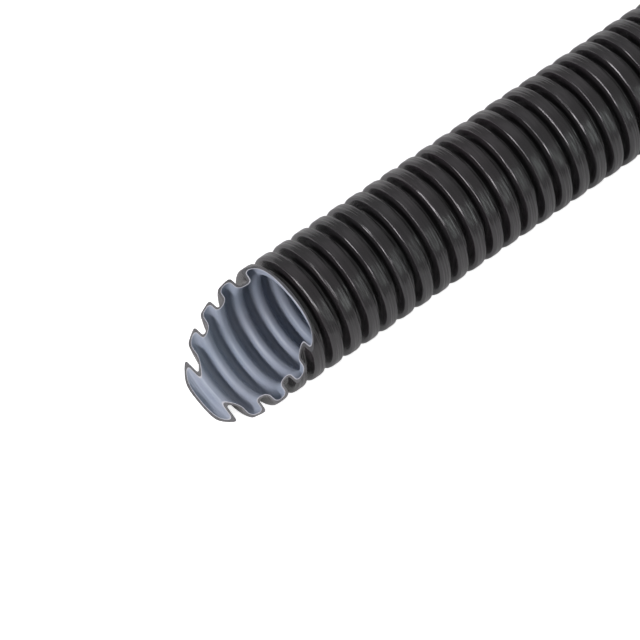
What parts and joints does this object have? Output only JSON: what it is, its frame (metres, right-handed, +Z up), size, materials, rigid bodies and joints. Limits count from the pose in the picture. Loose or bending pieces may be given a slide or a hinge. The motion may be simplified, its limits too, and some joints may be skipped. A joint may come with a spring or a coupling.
{
  "type": "corrugated conduit",
  "caption": "Straight cut length of ring-corrugated plastic conduit with an open bore, one end sliced at a long hollow slant and the other cut square.",
  "frame": {"origin": "on the floor under the middle of the length, in the vertical plane through the conduit's axis", "axes": "+X along the conduit from its slanting end to its square end, +Z up, +Y to the left of +X"},
  "size_m": [1.0002, 0.032, 0.032],
  "materials": {
    "conduit_plastic": "satin black polymer outside, blue-grey slip lining inside"
  },
  "bodies": {
    "root": {"corrugated_wall": "conduit_plastic"}
  },
  "joints": []
}
